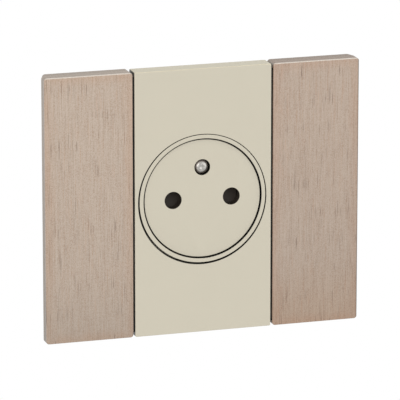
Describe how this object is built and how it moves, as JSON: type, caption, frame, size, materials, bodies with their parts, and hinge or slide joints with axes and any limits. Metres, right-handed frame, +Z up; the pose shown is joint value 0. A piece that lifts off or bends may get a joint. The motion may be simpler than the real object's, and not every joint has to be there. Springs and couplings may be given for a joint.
{
  "type": "wall socket",
  "caption": "Flush mains wall socket for round pins with an earth pin: a round sprung disc level with a plain panel, between two wood-veneered wings.",
  "frame": {"origin": "on the axis of the round disc, in the plane of the wall, which is the back of the support frame", "axes": "+X right as seen from the room, +Y into the wall, +Z up; the front faces -Y"},
  "size_m": [0.102, 0.0361, 0.0848],
  "materials": {
    "cream_plastic": "fine matt",
    "wing_moulding": "satin taupe",
    "wood_veneer": "open-grain, matt lacquer",
    "dark_carrier": "matt",
    "zinc_steel": "zinc plated sheet",
    "shutter_plastic": "satin charcoal",
    "housing_plastic": "light grey, moulded",
    "spring_steel": "drawn wire",
    "nickel_pin": "nickel plated, polished",
    "contact_brass": "bright strip",
    "screw_steel": "zinc plated"
  },
  "bodies": {
    "plate": {"left_wing": "wing_moulding", "right_wing": "wing_moulding", "left_wing_veneer": "wood_veneer", "right_wing_veneer": "wood_veneer", "front_panel": "cream_plastic", "plate_carrier": "dark_carrier", "support_frame": "zinc_steel", "well_sleeve": "cream_plastic", "contact_housing": "housing_plastic", "rear_cover": "housing_plastic", "earth_pin": "nickel_pin", "earth_strap": "contact_brass", "live_contact": "contact_brass", "neutral_contact": "contact_brass", "live_terminal": "contact_brass", "neutral_terminal": "contact_brass", "earth_terminal": "contact_brass", "live_terminal_screw": "screw_steel", "neutral_terminal_screw": "screw_steel", "earth_terminal_screw": "screw_steel", "upper_front_screw": "screw_steel", "lower_front_screw": "screw_steel", "left_rear_screw": "screw_steel", "right_rear_screw": "screw_steel", "lower_rear_screw": "screw_steel", "left_return_spring": "spring_steel", "right_return_spring": "spring_steel", "lower_return_spring": "spring_steel"},
    "disc": {"retracting_disc": "cream_plastic", "shutter_guide": "shutter_plastic", "shutter_cover": "shutter_plastic", "shutter_spring": "spring_steel"},
    "shutter": {"shutter": "shutter_plastic"}
  },
  "joints": [
    {"name": "disc_press", "type": "slide", "parent": "plate", "child": "disc", "axis": [0, 1, 0], "range_m": [0, 0.013], "stiffness_N_per_m": 600, "springref_m": -0.008, "deforming": ["left_return_spring", "right_return_spring", "lower_return_spring"]},
    {"name": "shutter_slide", "type": "slide", "parent": "disc", "child": "shutter", "axis": [0, 0, -1], "range_m": [0, 0.0063], "stiffness_N_per_m": 40, "springref_m": -0.01, "deforming": ["shutter_spring"]}
  ]
}
